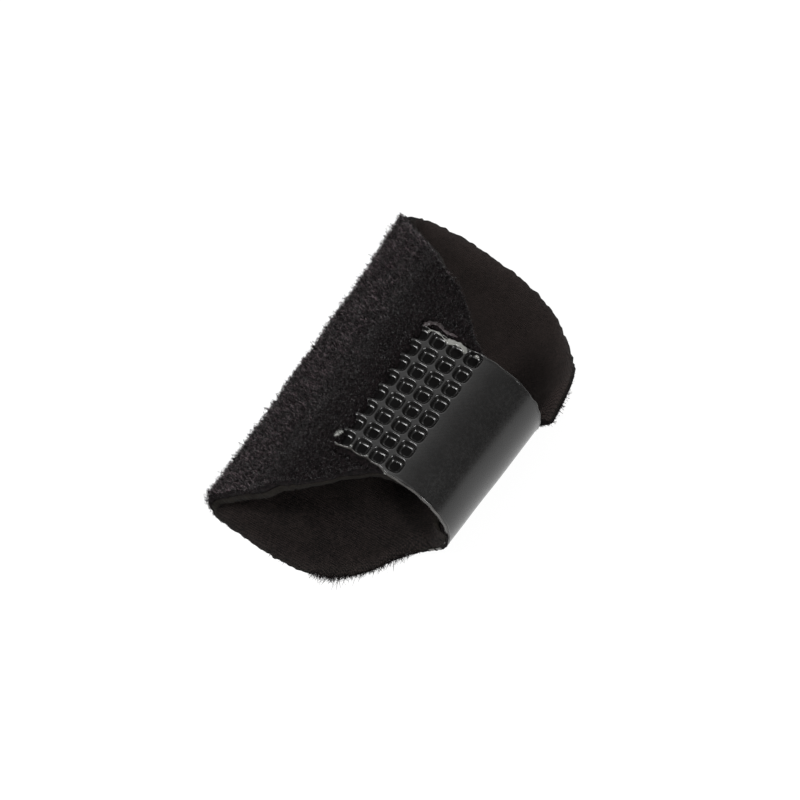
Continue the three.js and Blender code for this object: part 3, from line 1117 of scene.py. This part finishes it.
def add_light(name, direction, size, power):
    right, up, back = camera_axes()
    aim = (direction[0] * right + direction[1] * up + direction[2] * back).normalized()
    data = bpy.data.lights.new(name, "AREA")
    data.shape = "DISK"
    data.size = size * MM
    data.energy = power
    light = bpy.data.objects.new(name, data)
    bpy.context.scene.collection.objects.link(light)
    light.location = (aim * LIGHT_DISTANCE + LIGHT_AIM) * MM
    light.rotation_mode = "QUATERNION"
    light.rotation_quaternion = (-aim).to_track_quat("-Z", "Y")
    light.visible_camera = False


# The sky is a sum of lobes, each round a direction, and plain white where the camera sees it
SKY_BASE = 0.13
SKY_LOBES = (
    # direction, radiance, cosine where it starts and where it is full
    ((-0.45, 0.35, 0.82), 0.17, 0.1, 0.8),
    ((-0.45, 0.35, 0.82), 0.28, 0.6, 1.0),
    ((-0.24, 0.88, 0.42), 1.1, 0.6, 0.9),
)
BACKDROP_WHITE = 1.2


def build_sky():
    world = bpy.data.worlds.new("studio")
    bpy.context.scene.world = world
    world.use_nodes = True
    nodes, links = world.node_tree.nodes, world.node_tree.links
    direction = nodes.new("ShaderNodeTexCoord").outputs["Generated"]
    total = SKY_BASE
    for towards, radiance, start, full in SKY_LOBES:
        dot = nodes.new("ShaderNodeVectorMath")
        dot.operation = "DOT_PRODUCT"
        dot.inputs[1].default_value = Vector(towards).normalized()
        links.new(direction, dot.inputs[0])
        share = nodes.new("ShaderNodeMapRange")
        share.interpolation_type = "SMOOTHSTEP"
        share.inputs["From Min"].default_value = start
        share.inputs["From Max"].default_value = full
        share.inputs["To Max"].default_value = radiance
        links.new(dot.outputs["Value"], share.inputs["Value"])
        total = math_node(nodes, links, "ADD", share.outputs["Result"], total)
    seen = nodes.new("ShaderNodeLightPath").outputs["Is Camera Ray"]
    white = math_node(nodes, links, "MULTIPLY", seen, BACKDROP_WHITE)
    total = math_node(nodes, links, "MAXIMUM", total, white)
    links.new(total, nodes["Background"].inputs["Strength"])
    nodes["Background"].inputs["Color"].default_value = (1, 1, 1, 1)


# A plain pale floor just below the wrap, which reaches FLOOR_HALF metres to each side. It
# glows a little, so it stays white.
FLOOR_HALF = 3.0
FLOOR_BELOW = 0.05
FLOOR_GLOW = 0.92
FLOOR_WHITE = 0.11


def build_floor():
    mesh = bpy.data.meshes.new("floor")
    corners = [(x * FLOOR_HALF, y * FLOOR_HALF, 0) for x, y in ((-1, -1), (1, -1), (1, 1), (-1, 1))]
    mesh.from_pydata(corners, [], [(0, 1, 2, 3)])
    floor = bpy.data.objects.new("floor", mesh)
    floor.location.z = -FLOOR_BELOW * MM
    bpy.context.scene.collection.objects.link(floor)
    material, _, _, shader = new_material("floor_white")
    shader.inputs["Base Color"].default_value = (FLOOR_WHITE, FLOOR_WHITE, FLOOR_WHITE, 1)
    shader.inputs["Emission Color"].default_value = (1, 1, 1, 1)
    shader.inputs["Emission Strength"].default_value = FLOOR_GLOW
    set_gloss(shader, roughness=0.9, specular=0.0)
    mesh.materials.append(material)


place_camera()
build_sky()
build_floor()
for light in LIGHTS:
    add_light(*light)
view = bpy.context.scene.view_settings
view.view_transform = "Standard"
view.look = "None"

PLASTICS = (
    # name, dark, light, roughness, specular
    ("strap_plastic", (0.004, 0.0038, 0.0037), (0.006, 0.0057, 0.0056), 0.27, 0.5),
    ("strap_weld_floor", (0.0008, 0.0007, 0.0007), (0.0025, 0.0023, 0.0023), 0.4, 0.05),
    # The pale edge band is a painted highlight
    ("strap_edge_highlight", (0.02, 0.019, 0.018), (0.06, 0.057, 0.053), 0.3, 0.5),
    # The flash's pale colour is partly stretch-whitened plastic and partly a painted highlight
    ("strap_flash_whitened_and_highlight", (0.07, 0.072, 0.065), (0.16, 0.16, 0.15), 0.3, 0.6),
    ("pile_melted", (0.012, 0.009, 0.0095), (0.04, 0.03, 0.032), 0.4, 0.3),
)
FIBRE_PIECES = (
    # name, count, seed, from and to round the wrap
    ("flap_fibres_a", 23500, 11, -FLAP_REACH, 3),
    ("flap_fibres_b", 23500, 12, -FLAP_REACH, 3),
    ("back_fibres", 20500, 13, 0, BACK_REACH),
)
FRINGE_COUNT = 5000
FRINGE_SEED = 14

plastic, weld_floor, strap_edge_highlight, flash, dulled = (strap_material(*row) for row in PLASTICS)
fibre = fibre_material()

cover = pile_cover(pile_material())
lining = foam_lining(lining_material(), foam_material())
strap = hook_strap(plastic, weld_floor, strap_edge_highlight)
melted = weld_flash(flash)
ridge = melted_ridge(dulled)
loose = [fibres(*row, fibre) for row in FIBRE_PIECES]
loose.append(fringe("edge_fibres", FRINGE_COUNT, FRINGE_SEED, fibre))

for piece, node, slot in (
    (cover, "pile_cover", "loop_pile"),
    (lining, "foam_lining", "knit_lining"),
    (strap, "hook_strap", "hook_plastic"),
):
    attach(piece, "root")
    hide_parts(node)
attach(melted, "root")
for piece in [ridge, *loose]:
    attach(piece, "root")
